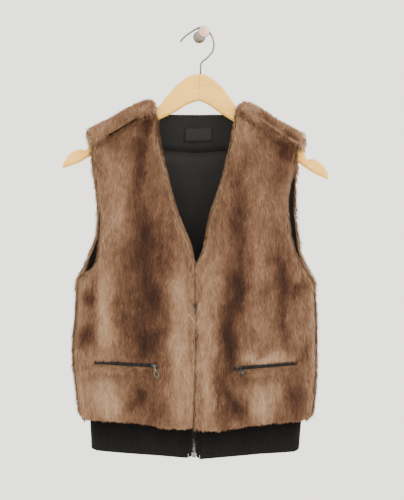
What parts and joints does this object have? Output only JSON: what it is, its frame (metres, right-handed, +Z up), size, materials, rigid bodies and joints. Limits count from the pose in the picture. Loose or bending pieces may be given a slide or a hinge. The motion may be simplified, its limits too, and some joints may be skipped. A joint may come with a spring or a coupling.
{
  "type": "fur vest on a wooden hanger",
  "caption": "Sleeveless fur vest with a V neck, front zip, zipped side pockets and a ribbed hem, hanging on a contoured wooden hanger from a wall peg.",
  "frame": {"origin": "middle of the peg's flat face on the wall", "axes": "+Y into the wall, so the vest faces -Y; +Z up; +X to the viewer's right, the wearer's left"},
  "size_m": [0.4424, 0.0962, 0.723],
  "materials": {
    "fur": "long soft pile in streaks of tan and brown",
    "lining": "plain smooth weave",
    "label": "woven, bare",
    "knit": "ribbed wool knit",
    "zip_tape": "woven tape",
    "zip_teeth": "polished metal teeth",
    "wood": "clear satin lacquer",
    "wire": "bright wire",
    "peg": "grey-brown, satin",
    "peg_face": "copper colour, brushed",
    "gunmetal": "dark satin metal"
  },
  "bodies": {
    "vest": {"wall_peg": "peg", "peg_face": "peg_face", "hanger_hook": "wire", "hanger_arm_right": "wood", "hanger_arm_left": "wood", "fur_front_right": "fur", "fur_front_left": "fur", "fur_back": "fur", "lining_front_right": "lining", "lining_front_left": "lining", "lining_back": "lining", "neck_facing": "lining", "neck_label": "label", "rib_front_right": "knit", "rib_front_left": "knit", "rib_back": "knit", "placket_right": "knit", "placket_left": "knit", "zip_tape_right": "zip_tape", "zip_tape_left": "zip_tape", "zip_chain": "zip_teeth", "zip_box": "gunmetal", "zip_slider": "gunmetal", "pocket_zip_right": "zip_tape", "pocket_zip_left": "zip_tape", "pocket_slider_right": "gunmetal", "pocket_slider_left": "gunmetal"},
    "pull_right": {"pocket_pull_right": "gunmetal"},
    "pull_left": {"pocket_pull_left": "gunmetal"},
    "pull_front": {"zip_pull": "gunmetal"}
  },
  "joints": [
    {"name": "pull_right_swing", "type": "hinge", "parent": "vest", "child": "pull_right", "pos_m": [-0.07363, -0.0925, -0.55264], "axis": [-0.9659, 0, -0.2588], "range_deg": [0, 110]},
    {"name": "pull_left_swing", "type": "hinge", "parent": "vest", "child": "pull_left", "pos_m": [0.0658, -0.09203, -0.55655], "axis": [-0.809, 0, -0.5878], "range_deg": [0, 110]},
    {"name": "pull_front_swing", "type": "hinge", "parent": "vest", "child": "pull_front", "pos_m": [-0.00613, -0.0866, -0.4533], "axis": [-1, 0, 0], "range_deg": [0, 100]}
  ]
}
